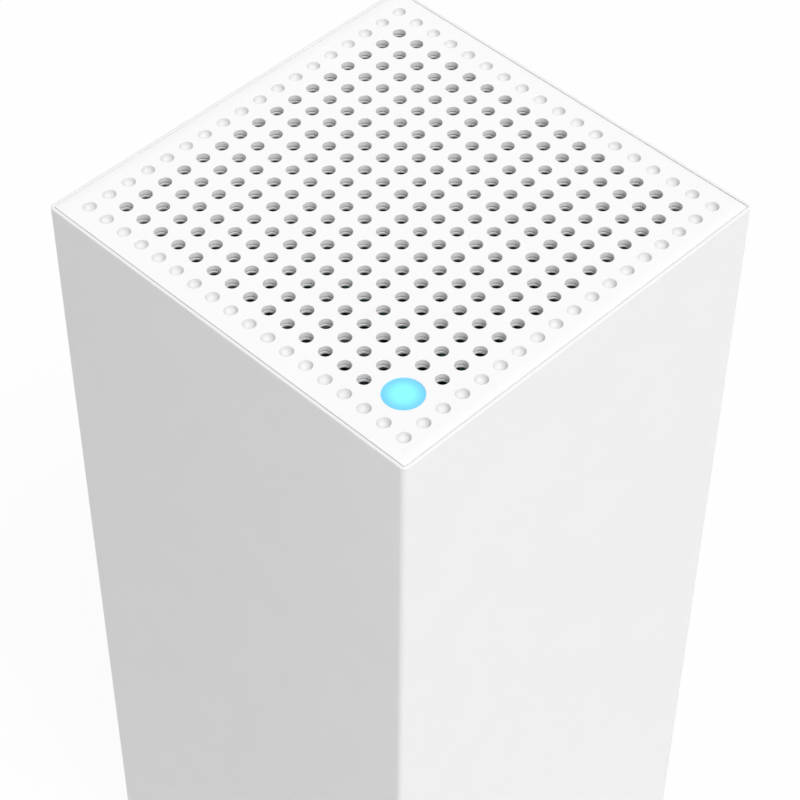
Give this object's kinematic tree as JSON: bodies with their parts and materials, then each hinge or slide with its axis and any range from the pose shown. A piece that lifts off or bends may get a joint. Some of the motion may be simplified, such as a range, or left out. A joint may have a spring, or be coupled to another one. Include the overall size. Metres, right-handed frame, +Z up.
{
  "type": "mesh wifi node",
  "caption": "Square white tower mesh wifi node with a vented top, a round status light in one corner, and network, power, switch and reset ports in a bay underneath.",
  "frame": {"origin": "on the ground at the centre of the tower", "axes": "+Z up; the status light is in the corner towards +X and -Y; the cable notch is in the rear wall, at +Y"},
  "size_m": [0.0786, 0.0786, 0.185],
  "materials": {
    "sleeve_white": "satin",
    "cover_white": "satin",
    "liner_white": "satin",
    "tunnel_white": "satin",
    "board_green": "satin",
    "led_yellow": "gloss",
    "socket_cream": "satin",
    "cable_white": "satin",
    "base_grey": "satin",
    "panel_grey": "satin",
    "chassis_grey": "satin",
    "foot_rubber": "matte",
    "screw_steel": "satin",
    "standoff_brass": "satin",
    "chip_black": "satin",
    "can_tin": "satin",
    "pad_grey": "matte",
    "sink_aluminium": "satin",
    "connector_black": "satin",
    "lan_metal": "satin",
    "lan_plastic": "satin",
    "contact_gold": "gloss",
    "jack_black": "satin",
    "pin_nickel": "gloss",
    "switch_black": "satin",
    "rocker_black": "gloss",
    "cable_red": "satin",
    "reset_red": "satin",
    "tact_black": "satin",
    "inductor_grey": "satin",
    "capacitor_silver": "satin",
    "lead_grey": "satin",
    "antenna_board": "satin",
    "lens_cyan": "satin"
  },
  "bodies": {
    "tower": {"antenna_connectors": "contact_gold", "antenna_front": "antenna_board", "antenna_leads": "lead_grey", "antenna_left_front": "antenna_board", "antenna_left_rear": "antenna_board", "antenna_rear": "antenna_board", "antenna_right_front": "antenna_board", "antenna_right_rear": "antenna_board", "base_frame": "base_grey", "base_screws": "screw_steel", "board_screws": "screw_steel", "chassis": "chassis_grey", "flash_chip": "chip_black", "heat_sink_screws": "screw_steel", "lan_contacts": "contact_gold", "lan_insert_left": "lan_plastic", "lan_insert_right": "lan_plastic", "lan_magnetics": "connector_black", "lan_shell_left": "lan_metal", "lan_shell_right": "lan_metal", "light_board": "board_green", "light_board_screws": "screw_steel", "light_cable": "cable_white", "light_cable_sockets": "socket_cream", "light_lens": "lens_cyan", "light_tunnel": "tunnel_white", "main_board": "board_green", "main_heat_sink": "sink_aluminium", "main_processor": "chip_black", "memory_chips": "chip_black", "network_chip": "chip_black", "outer_sleeve": "sleeve_white", "port_panel": "panel_grey", "power_capacitors": "capacitor_silver", "power_inductors": "inductor_grey", "power_jack_body": "jack_black", "power_jack_pin": "pin_nickel", "power_switch_blades": "contact_gold", "power_switch_body": "switch_black", "power_switch_wires": "cable_red", "processor_can": "can_tin", "processor_pads": "pad_grey", "radio_board": "board_green", "radio_cans": "can_tin", "radio_chips": "chip_black", "radio_heat_sink": "sink_aluminium", "radio_pads": "pad_grey", "reset_switch_body": "tact_black", "rubber_feet": "foot_rubber", "sleeve_screws": "screw_steel", "stack_plug": "connector_black", "stack_socket": "connector_black", "standoffs": "standoff_brass", "status_led": "led_yellow", "switch_wire_socket": "socket_cream", "top_cover": "cover_white", "vent_liner": "liner_white"},
    "rocker": {"power_switch_rocker": "rocker_black"},
    "reset_button": {"reset_button": "reset_red"},
    "reset_plunger": {"reset_switch_plunger": "tact_black"}
  },
  "joints": [
    {"name": "power_switch_tilt", "type": "hinge", "parent": "tower", "child": "rocker", "pos_m": [0.014, 0.013, 0.0311], "axis": [0, 1, 0], "range_deg": [0, 20]},
    {"name": "reset_press", "type": "slide", "parent": "tower", "child": "reset_button", "axis": [0, 0, 1], "range_m": [0, 0.0005], "stiffness_N_per_m": 1500, "springref_m": -0.0005},
    {"name": "reset_plunger_press", "type": "slide", "parent": "tower", "child": "reset_plunger", "axis": [0, 0, 1], "range_m": [0, 0.0005]}
  ],
  "couplings": [
    {"joint": "reset_plunger_press", "follows": "reset_press", "ratio": 1}
  ]
}
